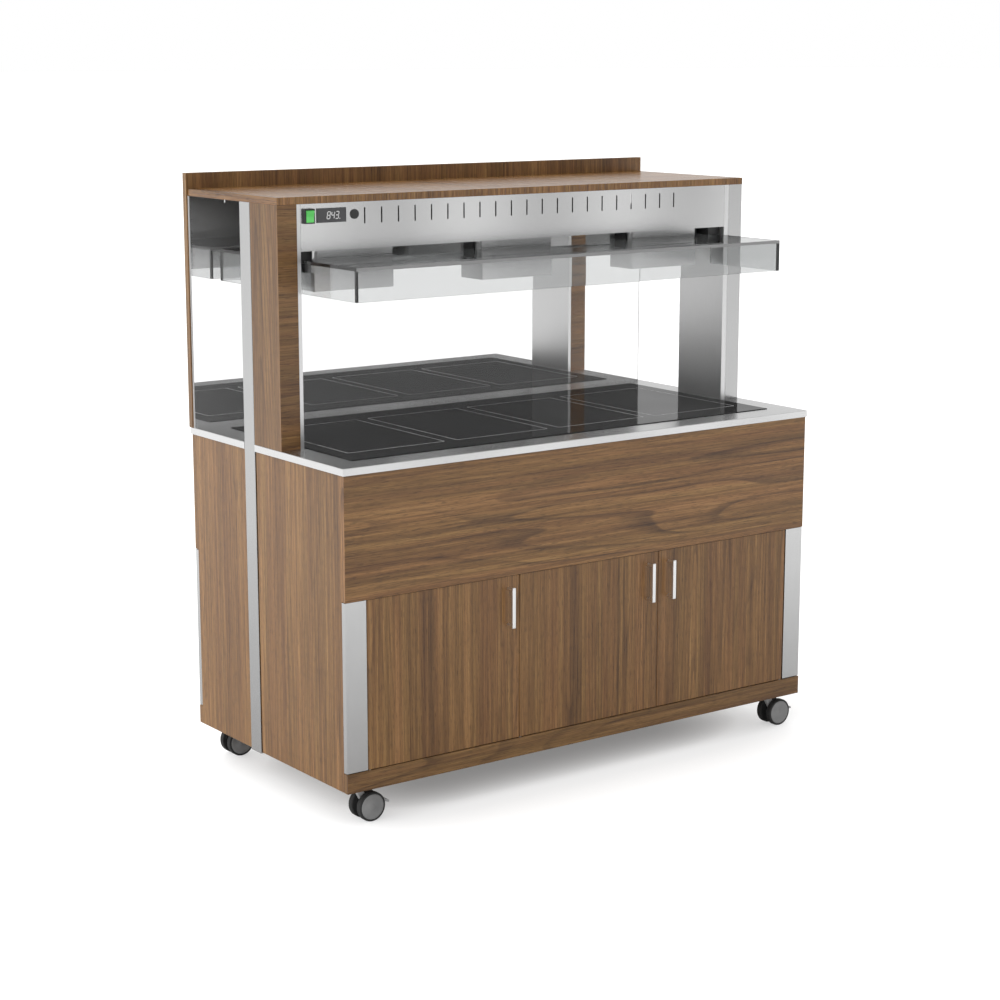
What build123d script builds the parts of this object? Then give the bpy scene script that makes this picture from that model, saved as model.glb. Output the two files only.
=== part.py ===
from build123d import *
import os

# A heated self-service display counter on casters, in millimetres.
# X runs along the front to the right, Y from the customer's side to the back, Z up from the floor.
# The origin lies on the floor, in the middle of the width and of the depth with the door handles.

# Worktop and hob
worktop_width = 1500.0
worktop_depth = 750.0
worktop_height = 900.0
worktop_edge = 18.0  # height of the folded edge
worktop_sheet = 2.0
worktop_round = 1.5  # outside radius of the fold
hob_side_margin = 75.0  # worktop edge to glass
hob_front_margin = 80.0
hob_thickness = 6.0
hob_proud = 2.0  # glass above the worktop
hob_round = 1.0
hob_clearance = 0.5  # glass to worktop, each side
hob_ledge = 15.0  # width of the step that carries the glass
zone_count = 4
zone_end_margin = 25.0  # hob edge to the first heating zone's share
zone_gap = 35.0  # between neighbouring heating pads
zone_front_margin = 85.0  # hob edge to heating pad
tray_sheet = 1.5
tray_clearance = 2.0  # tray wall to the hob's ledge
tray_flange = 14.0
pad_thickness = 14.5

# Base cabinet
caster_height = 95.0  # floor to the underside of the base
base_overhang = 3.0  # worktop beyond the base, all round
board = 18.0  # carcass boards and side panels
frontage = 16.0  # aprons and rails
inset = 2.0  # doors and corner strips behind the aprons
rail_height = 49.0
door_height = 426.0
door_thickness = 14.0
door_count = 3
door_gap = 2.0  # beside the doors
door_bottom_gap = 2.0
door_top_gap = 1.5
door_back_gap = 2.5  # doors to the carcass behind them
door_round = 3.0  # front edge on the hinge side
strip_width = 60.0
strip_sheet = 1.5
shadow_gap = 3.0  # wood to uprights
fit_gap = 0.5  # notches round the uprights

# Door pivots and handles
pivot_inset = 5.0  # pivot axis behind the door's face and edge
pivot_pin = 5.0
pivot_reach = 12.0  # pin into door, apron and rail
pivot_bore_depth = 14.0
pivot_collar = 8.0
running_clearance = 0.05  # on the radius of every turning pin
handle_length = 105.0
handle_width = 10.0
handle_bar = 8.0  # thickness of the bar, front to back
handle_reach = 27.0  # door face to handle front
handle_post = 8.0
handle_post_inset = 6.0  # bar end to post axis
handle_from_edge = 34.0
handle_from_top = 25.0
handle_round = 1.5

# Uprights and posts
upright_size = 50.0
upright_wall = 2.0
upright_round = 2.0
upright_foot = 3.0  # plate that closes the lower end
upright_drop = 3.0  # lower end below the base
gland_bore = 13.0
gland_thread = 20.0
gland_nut = 27.0  # across the corners of the hexagon
gland_nut_height = 8.0
gland_dome_height = 12.0
post_width = 65.0
post_depth = 184.0
liner_edge = 10.0  # liner over the wood block
liner_sheet = 1.5

# Shelf, back panel and mirror
shelf_height = 1520.0
shelf_thickness = 18.0
back_panel_rise = 40.0  # above the shelf
back_panel_thickness = 18.0
back_panel_overhang = 4.0  # beyond the worktop, each end
mirror_thickness = 5.0

# Canopy
fascia_height = 115.0
fascia_sheet = 2.0
fascia_flange = 30.0
fascia_end_gap = 0.5
slot_pitch = 50.0
slot_width = 4.0
slot_height = 40.0
slot_drop = 14.0  # fascia top to slot top
slot_end_margin = 180.0  # least distance from the fascia's end to a slot
canopy_sheet = 1.5
lamp_count = 3
lamp_end_gap = 69.0  # outer lamps to the posts
lamp_length = 226.0
lamp_depth = 96.0
lamp_drop = 105.0  # housing below the fascias
lamp_sheet = 1.5
emitter_length = 180.0
emitter_width = 60.0
emitter_thickness = 14.0
emitter_rise = 20.0  # above the open side of the housing
emitter_post = 12.0
emitter_post_pitch = 100.0

# Controls on the front fascia
control_drop = 29.5  # fascia top to the centre line of the controls
switch_from_end = 21.5  # fascia end to the centre of each control
display_from_end = 87.5
button_from_end = 154.5
switch_width = 27.0
switch_height = 36.0
switch_proud = 10.0
switch_body_width = 22.0
switch_body_height = 30.0
switch_body_depth = 25.0
cutout_clearance = 0.2
rocker_width = 21.0
rocker_height = 28.0
rocker_gap = 0.3  # rocker to frame at the sides
rocker_well_height = 31.0
rocker_depth = 4.0  # pivot axis behind the frame's front
rocker_crest = 5.0  # pivot axis to the middle of the rocker's front
rocker_lip = 6.5  # pivot axis to the ends of the rocker's front
rocker_back = 2.0
rocker_tilt = 8.0  # degrees, as it stands when switched on
rocker_pin = 3.0
rocker_pin_reach = 1.5
display_width = 83.0
display_height = 35.0
display_proud = 3.0
display_body_width = 76.0
display_body_height = 28.0
display_body_depth = 30.0
button_diameter = 24.0
button_proud = 3.0
button_stem = 12.0
button_flange = 28.0
button_flange_thickness = 2.0
button_round = 1.0

# Glass guards: one top pane for both sides, face and end panes front and rear alike
guard_side_gap = 9.0  # pane to post
guard_drop = 22.0  # canopy to glass
guard_glass = 8.0
guard_height = 82.0
guard_mirror_gap = 24.0  # rear face pane to the mirror
guard_tail = 41.0  # end panes behind the front of the posts
guard_lamp_gap = 3.0  # round the lamps in the top pane
guard_lamp_round = 8.0
hanger_width = 16.0
hanger_depth = 46.0
hanger_inset = 2.0  # pin behind the front of the posts
hanger_lamp_gap = 36.0  # pin of each middle hanger to the lamp on its right
hanger_end_width = 43.0  # the outer hangers reach the posts
hanger_end_pin_inset = 42.0  # post to the pin of the left hanger
hanger_end_stud_inset = 32.0  # post to the stud of the right hanger
hanger_end_stud_setback = 6.0  # that stud behind the front of its hanger
hanger_pin = 16.0
hanger_stud = 10.0
hanger_stud_clearance = 0.25
hanger_cap_height = 6.0
jaw_height = 22.0  # below the top pane, at the left hanger
jaw_width = 17.0
jaw_depth = 30.0

# Power unit on the equipment floor
power_unit_width = 300.0
power_unit_depth = 200.0
power_unit_height = 120.0
power_unit_sheet = 1.5

# Casters
caster_side_inset = 65.0  # base edge to swivel axis
caster_front_inset = 57.0
caster_rear_inset = 37.5
caster_trail = 25.0  # swivel axis to axle
wheel_diameter = 75.0
wheel_width = 17.0
wheel_gap = 21.0
wheel_round = 3.0
disc_diameter = 65.0
disc_recess = 1.0
axle_diameter = 8.0
axle_seat = 11.0  # length of axle in each wheel
fork_width = 13.0
fork_boss = 19.0  # round the axle
fork_neck = 16.0
fork_neck_rise = 2.0  # neck's centre above the underside of the swivel boss
swivel_boss = 18.0
swivel_gap = 0.3
wheel_clearance = 1.5  # wheel to what is above or outside it
king_pin = 10.0
king_pin_end_gap = 1.0
plate_size = 62.0
plate_thickness = 3.0
brake_pivot_out = 18.0  # brake pivot from the axle
brake_pivot_up = 16.0
brake_pin = 4.0
brake_eye = 10.0
brake_lug_root = 16.0
brake_lug_width = 4.4
brake_side_gap = 0.3
brake_slot_margin = 1.5  # slot round the lug's end
pedal_reach = 84.0  # swivel axis to the pedal's tip
pedal_width = 22.0
pedal_root = 7.0  # thickness beside the wheels
pedal_tip = 6.0
pedal_root_up = 5.5  # above the axle
pedal_tip_up = 0.5

# Places that follow from the sizes above
half_width = worktop_width / 2
base_half = half_width - base_overhang
panel_inner = base_half - board
handle_overhang = handle_reach - base_overhang - inset
worktop_back = (worktop_depth + handle_overhang) / 2
worktop_front = worktop_back - worktop_depth
worktop_middle = (worktop_front + worktop_back) / 2
worktop_under = worktop_height - worktop_sheet
base_front = worktop_front + base_overhang
base_back = worktop_back - base_overhang
frontage_back = base_front + frontage
rear_frontage = base_back - frontage
door_face = base_front + inset
door_back = door_face + door_thickness
carcass_front = door_back + door_back_gap
rail_top = caster_height + rail_height
door_bottom = rail_top + door_bottom_gap
door_top = door_bottom + door_height
apron_bottom = door_top + door_top_gap
store_floor = caster_height + board
store_ceiling = apron_bottom - board
door_zone_half = base_half - strip_width
door_width = (2 * door_zone_half - (door_count + 1) * door_gap) / door_count

post_inner = half_width - post_width
post_front = worktop_middle - post_depth / 2
post_back = worktop_middle + post_depth / 2
shelf_bottom = shelf_height - shelf_thickness
back_panel_front = worktop_back - back_panel_thickness
mirror_front = back_panel_front - mirror_thickness
upright_inner = half_width - upright_size

hob_half = half_width - hob_side_margin
hob_front = worktop_front + hob_front_margin
hob_back = worktop_back - hob_front_margin
hob_bottom = worktop_height + hob_proud - hob_thickness
ledge_bottom = hob_bottom - worktop_sheet
zone_pitch = 2 * (hob_half - zone_end_margin) / zone_count
tray_half = hob_half - hob_ledge - tray_clearance
tray_front = hob_front + hob_ledge + tray_clearance
tray_back = hob_back - hob_ledge - tray_clearance
pad_bottom = hob_bottom - pad_thickness

fascia_half = post_inner - fascia_end_gap
fascia_bottom = shelf_bottom - fascia_height
canopy_floor = fascia_bottom + fascia_sheet + canopy_sheet
control_height = shelf_bottom - control_drop
slot_count = 1 + 2 * int((fascia_half - slot_end_margin) / slot_pitch)
switch_x = -fascia_half + switch_from_end
display_x = -fascia_half + display_from_end
button_x = -fascia_half + button_from_end
rocker_y = post_front - switch_proud + rocker_depth

guard_half = post_inner - guard_side_gap
guard_top = fascia_bottom - guard_drop
guard_bottom = guard_top - guard_height
guard_front = 2 * worktop_middle - (mirror_front - guard_mirror_gap)  # as far out as the rear face pane
guard_back = post_front + guard_tail
pane_low = guard_top - guard_glass
lamp_pitch = (2 * (post_inner - lamp_end_gap) - lamp_length) / max(lamp_count - 1, 1)
lamp_places = [(i - (lamp_count - 1) / 2) * lamp_pitch for i in range(lamp_count)]
lamp_low = fascia_bottom - lamp_drop
canopy_under = fascia_bottom + fascia_sheet
pin_y = post_front + hanger_inset + hanger_pin / 2
middle_pins = [(x - lamp_length / 2 - hanger_lamp_gap, pin_y) for x in lamp_places[1:]]
end_pin = (hanger_end_pin_inset - post_inner, pin_y)
pin_places = [end_pin, *middle_pins]
hanger_front = pin_y + hanger_pin / 2
end_stud = (post_inner - hanger_end_stud_inset, hanger_front + hanger_end_stud_setback)
low_caps = [*middle_pins, end_stud]
stud_places = [*pin_places, end_stud]

wheel_radius = wheel_diameter / 2
boss_bottom = wheel_diameter + wheel_clearance
plate_bottom = caster_height - plate_thickness
boss_top = plate_bottom - swivel_gap

os.makedirs("parts", exist_ok=True)


def keep(piece, name):
    """Name a finished piece and write it to its own file."""
    piece.part.label = name
    export_step(piece.part, f"parts/{name}.step")


def block(x_span, y_span, z_span, mode=Mode.ADD):
    """Add or cut a rectangular block, given its two limits along each axis."""
    spans = (sorted(x_span), sorted(y_span), sorted(z_span))
    with Locations(tuple((low + high) / 2 for low, high in spans)):
        Box(*(high - low for low, high in spans), mode=mode)


def front_view(x, y, z):
    """A drawing plane that faces the front: drawn right is X, drawn up is Z."""
    return Plane(origin=(x, y, z), x_dir=(1, 0, 0), z_dir=(0, -1, 0))


def end_view(x, y, z, tilt=0.0):
    """A drawing plane that faces the right end: drawn right is Y, drawn up is Z, turned by the tilt."""
    return Plane(origin=(x, y, z), x_dir=Vector(0, 1, 0).rotate(Axis.X, tilt), z_dir=(1, 0, 0))


def turned(side, span):
    """A span along Y as given (side -1), or as it lies after half a turn about the middle (side 1)."""
    if side < 0:
        return span
    return (2 * worktop_middle - span[1], 2 * worktop_middle - span[0])


def turned_places(side, places, z):
    """Places in plan at a height, as given (side -1) or after half a turn about the middle (side 1)."""
    return [(-side * x, worktop_middle + side * (worktop_middle - y), z) for x, y in places]


def cut_upright_notches(z_span):
    """Cut the two places where the uprights pass through a board."""
    for side in (-1, 1):
        upright = turned(side, (post_back - upright_size - fit_gap, post_back + fit_gap))
        block((side * upright_inner, side * half_width), upright, z_span, Mode.SUBTRACT)


# Carcass boards
with BuildPart() as bottom_board:
    bottom_span = (caster_height, store_floor)
    block((-panel_inner, panel_inner), (frontage_back, rear_frontage), bottom_span)
    cut_upright_notches(bottom_span)
keep(bottom_board, "bottom_board")

with BuildPart() as equipment_floor:
    floor_span = (store_ceiling, apron_bottom)
    block((-panel_inner, panel_inner), (carcass_front, rear_frontage), floor_span)
    cut_upright_notches(floor_span)
keep(equipment_floor, "equipment_floor")

with BuildPart() as partition:
    first_seam = -door_zone_half + door_gap + door_width + door_gap / 2
    block(
        (first_seam - board / 2, first_seam + board / 2),
        (carcass_front, rear_frontage),
        (store_floor, store_ceiling),
    )
keep(partition, "partition")


# Side panels, in front of and behind the upright on each end
def make_side_panels(end_name, side):
    upright = turned(side, (post_back - upright_size, post_back))
    runs = {
        "front": (frontage_back, upright[0] - shadow_gap),
        "rear": (upright[1] + shadow_gap, rear_frontage),
    }
    for run_name, run in runs.items():
        with BuildPart() as panel:
            block((side * panel_inner, side * base_half), run, (caster_height, worktop_under))
        keep(panel, f"{end_name}_{run_name}_side_panel")


# Uprights: square tubes closed by a foot plate, the right one drilled for the cable gland
def make_upright(end_name, side, drilled):
    middle_x = side * (half_width - upright_size / 2)
    middle_y = sum(turned(side, (post_back - upright_size, post_back))) / 2
    low = caster_height - upright_drop
    hollow = upright_size - 2 * upright_wall
    with BuildPart() as upright:
        with BuildSketch(Plane.XY.offset(low)):
            with Locations((middle_x, middle_y)):
                RectangleRounded(upright_size, upright_size, upright_round)
        extrude(amount=shelf_bottom - low)
        with BuildSketch(Plane.XY.offset(low + upright_foot)):
            with Locations((middle_x, middle_y)):
                Rectangle(hollow, hollow)
        extrude(amount=shelf_bottom - low - upright_foot, mode=Mode.SUBTRACT)
        if drilled:
            with Locations((middle_x, middle_y, low + upright_foot / 2)):
                Cylinder(gland_thread / 2, upright_foot, mode=Mode.SUBTRACT)
    keep(upright, f"{end_name}_upright")


# Posts: a wood block beside each upright, and a folded liner over both on the inner side
liner_return = post_inner + liner_edge


def make_post_block(end_name, side):
    with BuildPart() as post_block:
        wood = turned(side, (post_front, post_back - upright_size - shadow_gap))
        block((side * liner_return, side * half_width), wood, (worktop_height, shelf_bottom))
    keep(post_block, f"{end_name}_post_block")


with BuildPart() as post_liners:
    liner_span = (worktop_height, shelf_bottom)
    for side in (-1, 1):
        face = turned(side, (post_front, post_back))
        wood_return = turned(side, (post_front, post_front + liner_sheet))
        steel_return = turned(side, (post_back - liner_sheet, post_back))
        block((side * post_inner, side * (post_inner + liner_sheet)), face, liner_span)
        block((side * post_inner, side * liner_return), wood_return, liner_span)
        block((side * post_inner, side * upright_inner), steel_return, liner_span)
keep(post_liners, "post_liners")

for end_name, side in (("left", -1), ("right", 1)):
    make_side_panels(end_name, side)
    make_upright(end_name, side, drilled=side > 0)
    make_post_block(end_name, side)

# Cable gland in the foot of the right upright: thread, hexagon and dome with the cable's bore
with BuildPart() as cable_gland:
    gland_x = half_width - upright_size / 2
    gland_y = post_front + upright_size / 2
    foot_low = caster_height - upright_drop
    nut_low = foot_low - gland_nut_height
    with BuildSketch(Plane.XY.offset(nut_low)):
        with Locations((gland_x, gland_y)):
            RegularPolygon(gland_nut / 2, 6)
    extrude(amount=gland_nut_height)
    with BuildSketch(Plane.XY.offset(foot_low)):
        with Locations((gland_x, gland_y)):
            Circle(gland_thread / 2)
    extrude(amount=upright_foot)
    with Locations((gland_x, gland_y, nut_low - gland_dome_height / 2)):
        Cone(gland_bore / 2 + worktop_sheet, gland_thread / 2, gland_dome_height)
    with BuildSketch(Plane.XY.offset(nut_low - gland_dome_height)):
        with Locations((gland_x, gland_y)):
            Circle(gland_bore / 2)
    extrude(amount=gland_dome_height + gland_nut_height + upright_foot, mode=Mode.SUBTRACT)
keep(cable_gland, "cable_gland")

# Front and rear of the base; the front pieces take the upper and lower pivot pins of the doors
door_left_edges = [-door_zone_half + door_gap + i * (door_width + door_gap) for i in range(door_count)]
door_hinge_sides = [-1] * (door_count - 1) + [1]
pivot_y = door_face + pivot_inset
pivot_places = []
for left_edge, hinge_side in zip(door_left_edges, door_hinge_sides):
    hinge_edge = left_edge if hinge_side < 0 else left_edge + door_width
    pivot_places.append(hinge_edge - hinge_side * pivot_inset)

with BuildPart() as front_apron:
    block((-base_half, base_half), (base_front, frontage_back), (apron_bottom, worktop_under))
    with Locations(*[(x, pivot_y, apron_bottom + pivot_reach / 2) for x in pivot_places]):
        Cylinder(pivot_pin / 2, pivot_reach, mode=Mode.SUBTRACT)
keep(front_apron, "front_apron")

with BuildPart() as front_rail:
    block((-base_half, base_half), (base_front, frontage_back), (caster_height, rail_top))
    with Locations(*[(x, pivot_y, rail_top - pivot_reach / 2) for x in pivot_places]):
        Cylinder(pivot_pin / 2, pivot_reach, mode=Mode.SUBTRACT)
keep(front_rail, "front_rail")

with BuildPart() as rear_apron:
    block((-base_half, base_half), (rear_frontage, base_back), (apron_bottom, worktop_under))
keep(rear_apron, "rear_apron")

with BuildPart() as rear_panel:
    rear_half = door_zone_half - door_gap
    block((-base_half, base_half), (rear_frontage, base_back), (caster_height, rail_top))
    block((-rear_half, rear_half), (rear_frontage, base_back - inset), (rail_top, door_top))
keep(rear_panel, "rear_panel")

# Corner strips: folded channels that stand on the edges of the side panels
with BuildPart() as corner_strips:
    strip_span = (door_bottom, door_top)
    for side in (-1, 1):
        for face, seat, inward in ((door_face, frontage_back, 1), (base_back - inset, rear_frontage, -1)):
            outer = side * base_half
            inner = side * door_zone_half
            block((outer, inner), (face, face + inward * strip_sheet), strip_span)
            block((outer, outer - side * strip_sheet), (face, seat), strip_span)
            block((inner, inner + side * strip_sheet), (face, seat), strip_span)
keep(corner_strips, "corner_strips")

# Pivot pins of the doors; the lower ones have a collar that carries the door
with BuildPart() as door_pins:
    lower_span = door_bottom_gap + 2 * pivot_reach
    upper_span = door_top_gap + 2 * pivot_reach
    with Locations(*[(x, pivot_y, rail_top + door_bottom_gap / 2) for x in pivot_places]):
        Cylinder(pivot_pin / 2, lower_span)
        Cylinder(pivot_collar / 2, door_bottom_gap)
    with Locations(*[(x, pivot_y, door_top + door_top_gap / 2) for x in pivot_places]):
        Cylinder(pivot_pin / 2, upper_span)
keep(door_pins, "door_pins")


# Doors and handles
def make_door(name, left_edge, hinge_side, pivot_x):
    with BuildPart() as door:
        block((left_edge, left_edge + door_width), (door_face, door_back), (door_bottom, door_top))
        front_edges = door.edges().filter_by(Axis.Z).group_by(Axis.Y)[0].sort_by(Axis.X)
        fillet(front_edges[0] if hinge_side < 0 else front_edges[-1], door_round)
        bore_z = (door_bottom + pivot_bore_depth / 2, door_top - pivot_bore_depth / 2)
        with Locations(*[(pivot_x, pivot_y, z) for z in bore_z]):
            Cylinder(pivot_pin / 2 + running_clearance, pivot_bore_depth, mode=Mode.SUBTRACT)
    keep(door, f"{name}_door")


def make_handle(name, left_edge, hinge_side):
    free_edge = left_edge if hinge_side > 0 else left_edge + door_width
    handle_x = free_edge + hinge_side * handle_from_edge
    high = door_top - handle_from_top
    low = high - handle_length
    with BuildPart() as handle:
        block(
            (handle_x - handle_width / 2, handle_x + handle_width / 2),
            (door_face - handle_reach, door_face - handle_reach + handle_bar),
            (low, high),
        )
        fillet(handle.edges(), handle_round)
        with BuildSketch(front_view(handle_x, door_face, (low + high) / 2)):
            with GridLocations(1, handle_length - 2 * handle_post_inset, 1, 2):
                Circle(handle_post / 2)
        extrude(amount=handle_reach - handle_bar)
    keep(handle, f"{name}_handle")


door_names = ("left", "middle", "right")
for name, left_edge, hinge_side, pivot_x in zip(door_names, door_left_edges, door_hinge_sides, pivot_places):
    make_door(name, left_edge, hinge_side, pivot_x)
    make_handle(name, left_edge, hinge_side)

# Worktop: a folded sheet with a sunken ledge for the glass
with BuildPart() as worktop:
    block(
        (-half_width, half_width),
        (worktop_front, worktop_back),
        (worktop_height - worktop_edge, worktop_height),
    )
    fillet(worktop.faces().sort_by(Axis.Z)[-1].edges(), worktop_round)
    block(
        (worktop_sheet - half_width, half_width - worktop_sheet),
        (worktop_front + worktop_sheet, worktop_back - worktop_sheet),
        (worktop_height - worktop_edge, worktop_under),
        Mode.SUBTRACT,
    )
    well = hob_clearance + worktop_sheet
    block(
        (-hob_half - well, hob_half + well),
        (hob_front - well, hob_back + well),
        (ledge_bottom, worktop_height),
    )
    block(
        (-hob_half - hob_clearance, hob_half + hob_clearance),
        (hob_front - hob_clearance, hob_back + hob_clearance),
        (hob_bottom, worktop_height),
        Mode.SUBTRACT,
    )
    block(
        (hob_ledge - hob_half, hob_half - hob_ledge),
        (hob_front + hob_ledge, hob_back - hob_ledge),
        (ledge_bottom, worktop_height),
        Mode.SUBTRACT,
    )
    cut_upright_notches((worktop_height - worktop_edge, worktop_height))
keep(worktop, "worktop")

with BuildPart() as hob_glass:
    block((-hob_half, hob_half), (hob_front, hob_back), (hob_bottom, hob_bottom + hob_thickness))
    fillet(hob_glass.faces().sort_by(Axis.Z)[-1].edges(), hob_round)
keep(hob_glass, "hob_glass")

# Tray that hangs from the ledge, and the heating pads between tray and glass
with BuildPart() as hob_tray:
    tray_low = pad_bottom - tray_sheet
    block((-tray_half, tray_half), (tray_front, tray_back), (tray_low, ledge_bottom))
    block(
        (-tray_half - tray_flange, tray_half + tray_flange),
        (tray_front - tray_flange, tray_back + tray_flange),
        (ledge_bottom - tray_sheet, ledge_bottom),
    )
    block(
        (tray_sheet - tray_half, tray_half - tray_sheet),
        (tray_front + tray_sheet, tray_back - tray_sheet),
        (pad_bottom, ledge_bottom),
        Mode.SUBTRACT,
    )
keep(hob_tray, "hob_tray")

with BuildPart() as heating_pads:
    with BuildSketch(Plane.XY.offset(pad_bottom)):
        with Locations((0, worktop_middle)):
            with GridLocations(zone_pitch, 1, zone_count, 1):
                Rectangle(zone_pitch - zone_gap, hob_back - hob_front - 2 * zone_front_margin)
    extrude(amount=pad_thickness)
keep(heating_pads, "heating_pads")

with BuildPart() as power_unit:
    with BuildSketch(Plane.XY.offset(apron_bottom)):
        with Locations((0, worktop_middle)):
            Rectangle(power_unit_width, power_unit_depth)
    extrude(amount=power_unit_height)
    offset(amount=-power_unit_sheet, openings=power_unit.faces().sort_by(Axis.Z)[0])
keep(power_unit, "power_unit")

# Shelf, back panel and mirror
with BuildPart() as top_shelf:
    block((-half_width, half_width), (post_front, back_panel_front), (shelf_bottom, shelf_height))
keep(top_shelf, "top_shelf")

with BuildPart() as back_panel:
    panel_half = half_width + back_panel_overhang
    panel_span = (worktop_height, shelf_height + back_panel_rise)
    block((-panel_half, panel_half), (back_panel_front, worktop_back), panel_span)
keep(back_panel, "back_panel")

with BuildPart() as mirror:
    mirror_span = (mirror_front, back_panel_front)
    block((-half_width, half_width), mirror_span, (worktop_height, shelf_bottom))
keep(mirror, "mirror")


# Fascias: folded channels with a row of vents, the front one cut for the controls
def make_fascia(name, face, inward, has_controls):
    with BuildPart() as fascia:
        ends = (-fascia_half, fascia_half)
        block(ends, (face, face + inward * fascia_sheet), (fascia_bottom, shelf_bottom))
        for low in (fascia_bottom, shelf_bottom - fascia_sheet):
            block(ends, (face, face + inward * fascia_flange), (low, low + fascia_sheet))
        with BuildSketch(front_view(0, face, shelf_bottom - slot_drop - slot_height / 2)):
            with GridLocations(slot_pitch, 1, slot_count, 1):
                SlotOverall(slot_height, slot_width, rotation=90)
        extrude(amount=fascia_sheet, both=True, mode=Mode.SUBTRACT)
        if has_controls:
            with BuildSketch(front_view(0, face, control_height)):
                for x, width, height in (
                    (switch_x, switch_body_width, switch_body_height),
                    (display_x, display_body_width, display_body_height),
                ):
                    with Locations((x, 0)):
                        Rectangle(width + 2 * cutout_clearance, height + 2 * cutout_clearance)
                with Locations((button_x, 0)):
                    Circle(button_diameter / 2 + running_clearance)
            extrude(amount=fascia_sheet, both=True, mode=Mode.SUBTRACT)
    keep(fascia, name)


make_fascia("front_fascia", post_front, 1, has_controls=True)
make_fascia("rear_fascia", post_back, -1, has_controls=False)

# Canopy base, and the heat lamps under it: housings open below, each with an emitter plate on two posts
with BuildPart() as canopy_base:
    inner_faces = (post_front + fascia_sheet, post_back - fascia_sheet)
    block((-fascia_half, fascia_half), inner_faces, (canopy_under, canopy_floor))
keep(canopy_base, "canopy_base")

with BuildPart() as lamp_housings:
    lamp_half = lamp_depth / 2
    for x in lamp_places:
        block(
            (x - lamp_length / 2, x + lamp_length / 2),
            (worktop_middle - lamp_half, worktop_middle + lamp_half),
            (lamp_low, canopy_under),
        )
        block(
            (x - lamp_length / 2 + lamp_sheet, x + lamp_length / 2 - lamp_sheet),
            (worktop_middle - lamp_half + lamp_sheet, worktop_middle + lamp_half - lamp_sheet),
            (lamp_low, canopy_under - lamp_sheet),
            Mode.SUBTRACT,
        )
keep(lamp_housings, "lamp_housings")

with BuildPart() as heat_lamps:
    plate_low = lamp_low + emitter_rise
    with BuildSketch(Plane.XY.offset(plate_low)):
        with Locations(*[(x, worktop_middle) for x in lamp_places]):
            RectangleRounded(emitter_length, emitter_width, emitter_post / 2)
    extrude(amount=emitter_thickness)
    with BuildSketch(Plane.XY.offset(plate_low)):
        with Locations(*[(x, worktop_middle) for x in lamp_places]):
            with GridLocations(emitter_post_pitch, 1, 2, 1):
                Circle(emitter_post / 2)
    extrude(amount=canopy_under - lamp_sheet - plate_low)
keep(heat_lamps, "heat_lamps")

# Rocker switch: frame with a well, and the rocker on two side pins
with BuildPart() as switch_frame:
    switch_front = post_front - switch_proud
    block(
        (switch_x - switch_width / 2, switch_x + switch_width / 2),
        (switch_front, post_front),
        (control_height - switch_height / 2, control_height + switch_height / 2),
    )
    block(
        (switch_x - switch_body_width / 2, switch_x + switch_body_width / 2),
        (post_front, post_front + switch_body_depth),
        (control_height - switch_body_height / 2, control_height + switch_body_height / 2),
    )
    well_half = rocker_width / 2 + rocker_gap
    block(
        (switch_x - well_half, switch_x + well_half),
        (switch_front, post_front),
        (control_height - rocker_well_height / 2, control_height + rocker_well_height / 2),
        Mode.SUBTRACT,
    )
    with BuildSketch(end_view(switch_x, rocker_y, control_height)):
        Circle(rocker_pin / 2 + running_clearance)
    extrude(amount=rocker_width / 2 + rocker_pin_reach + rocker_gap, both=True, mode=Mode.SUBTRACT)
keep(switch_frame, "switch_frame")

with BuildPart() as rocker:
    half_rocker = rocker_height / 2
    with BuildSketch(end_view(switch_x, rocker_y, control_height, rocker_tilt)):
        with BuildLine():
            Polyline(
                (-rocker_crest, 0),
                (-rocker_lip, half_rocker),
                (rocker_back, half_rocker),
                (rocker_back, -half_rocker),
                (-rocker_lip, -half_rocker),
                close=True,
            )
        make_face()
    extrude(amount=rocker_width / 2, both=True)
    with BuildSketch(end_view(switch_x, rocker_y, control_height)):
        Circle(rocker_pin / 2)
    extrude(amount=rocker_width / 2 + rocker_pin_reach, both=True)
keep(rocker, "rocker")

# Display module and push button
with BuildPart() as display:
    block(
        (display_x - display_width / 2, display_x + display_width / 2),
        (post_front - display_proud, post_front),
        (control_height - display_height / 2, control_height + display_height / 2),
    )
    block(
        (display_x - display_body_width / 2, display_x + display_body_width / 2),
        (post_front, post_front + display_body_depth),
        (control_height - display_body_height / 2, control_height + display_body_height / 2),
    )
keep(display, "display")

with BuildPart() as push_button:
    with BuildSketch(front_view(button_x, post_front + button_stem, control_height)):
        Circle(button_diameter / 2)
    extrude(amount=button_stem + button_proud)
    fillet(push_button.faces().sort_by(Axis.Y)[0].edges(), button_round)
    flange_back = post_front + fascia_sheet + button_flange_thickness
    with BuildSketch(front_view(button_x, flange_back, control_height)):
        Circle(button_flange / 2)
    extrude(amount=button_flange_thickness)
keep(push_button, "push_button")

# Glass guards: one top pane with cut-outs for the lamps, face and end panes below it, hangers above
guard_sides = {"front": -1, "rear": 1}
pane_middle = guard_top - guard_glass / 2

with BuildPart() as guard_top_pane:
    pane_back = turned(1, (guard_front, guard_back))[1]
    block((-guard_half, guard_half), (guard_front, pane_back), (pane_low, guard_top))
    cut_length = lamp_length + 2 * guard_lamp_gap
    cut_depth = lamp_depth + 2 * guard_lamp_gap
    with BuildSketch(Plane.XY.offset(pane_low)):
        with Locations(*[(x, worktop_middle) for x in lamp_places]):
            RectangleRounded(cut_length, cut_depth, guard_lamp_round)
    extrude(amount=guard_glass, mode=Mode.SUBTRACT)
    for side in guard_sides.values():
        with Locations(*turned_places(side, stud_places, pane_middle)):
            Cylinder(hanger_stud / 2 + hanger_stud_clearance, guard_glass, mode=Mode.SUBTRACT)
keep(guard_top_pane, "guard_top_pane")


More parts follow.
